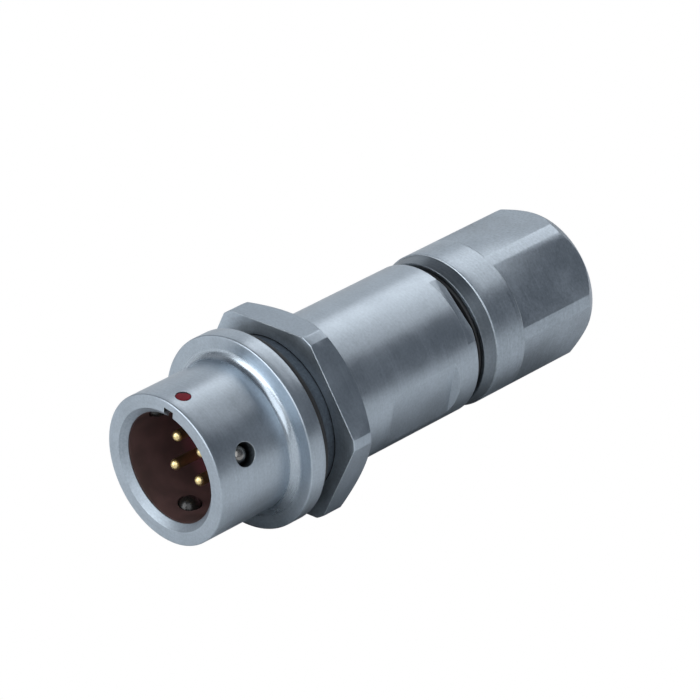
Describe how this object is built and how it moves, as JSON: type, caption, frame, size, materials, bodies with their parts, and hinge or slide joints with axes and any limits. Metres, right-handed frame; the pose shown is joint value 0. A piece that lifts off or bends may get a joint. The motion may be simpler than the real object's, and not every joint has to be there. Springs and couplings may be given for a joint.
{
  "type": "circular cable connector",
  "caption": "Panel-flange push-pull circular cable connector: ball-lock mating sleeve with keyed pin insert, hexagonal panel nut, round barrel and hexagonal cable clamp nut.",
  "frame": {"origin": "on the connector's axis at the rear face of the flange, which seats on the panel", "axes": "+Y along the axis towards the cable end, -Y out of the mating mouth, +Z towards the keyway and the alignment dot"},
  "size_m": [0.0134, 0.0324, 0.013],
  "materials": {
    "nickel_plate": "satin nickel plate",
    "gold_plate": "bright gold plate",
    "ball_steel": "polished",
    "brown_insulator": "moulded, slight sheen",
    "seal_rubber": "matte",
    "red_enamel": "enamel"
  },
  "bodies": {
    "housing": {"connector_shell": "nickel_plate", "alignment_dot": "red_enamel", "lock_ball_1": "ball_steel", "lock_ball_2": "ball_steel", "lock_ball_3": "ball_steel", "contact_insert": "brown_insulator", "rear_insulator": "brown_insulator", "contact_pin_1": "gold_plate", "contact_pin_2": "gold_plate", "contact_pin_3": "gold_plate", "contact_pin_4": "gold_plate", "insert_retaining_ring": "nickel_plate", "gasket_seat_ring": "nickel_plate", "cable_gasket": "seal_rubber", "panel_seal": "seal_rubber"},
    "gland_carrier": {"slip_washer": "nickel_plate", "cable_collet": "nickel_plate"},
    "clamp": {"clamp_nut": "nickel_plate", "gland_seal": "seal_rubber"},
    "fixing": {"panel_nut": "nickel_plate"}
  },
  "joints": [
    {"name": "clamp_nut_advance", "type": "slide", "parent": "housing", "child": "gland_carrier", "axis": [0, 1, 0], "range_m": [-0.0002, 0.002]},
    {"name": "clamp_nut_turn", "type": "hinge", "parent": "gland_carrier", "child": "clamp", "pos_m": [0, 0.0201, 0], "axis": [0, 1, 0], "range_deg": [-144, 1440]},
    {"name": "panel_nut_turn", "type": "hinge", "parent": "housing", "child": "fixing", "pos_m": [0, 0.0027, 0], "axis": [0, 1, 0], "range_deg": [-720, 1080]}
  ],
  "couplings": [
    {"joint": "clamp_nut_turn", "follows": "clamp_nut_advance", "rad_per_m": 12566}
  ]
}
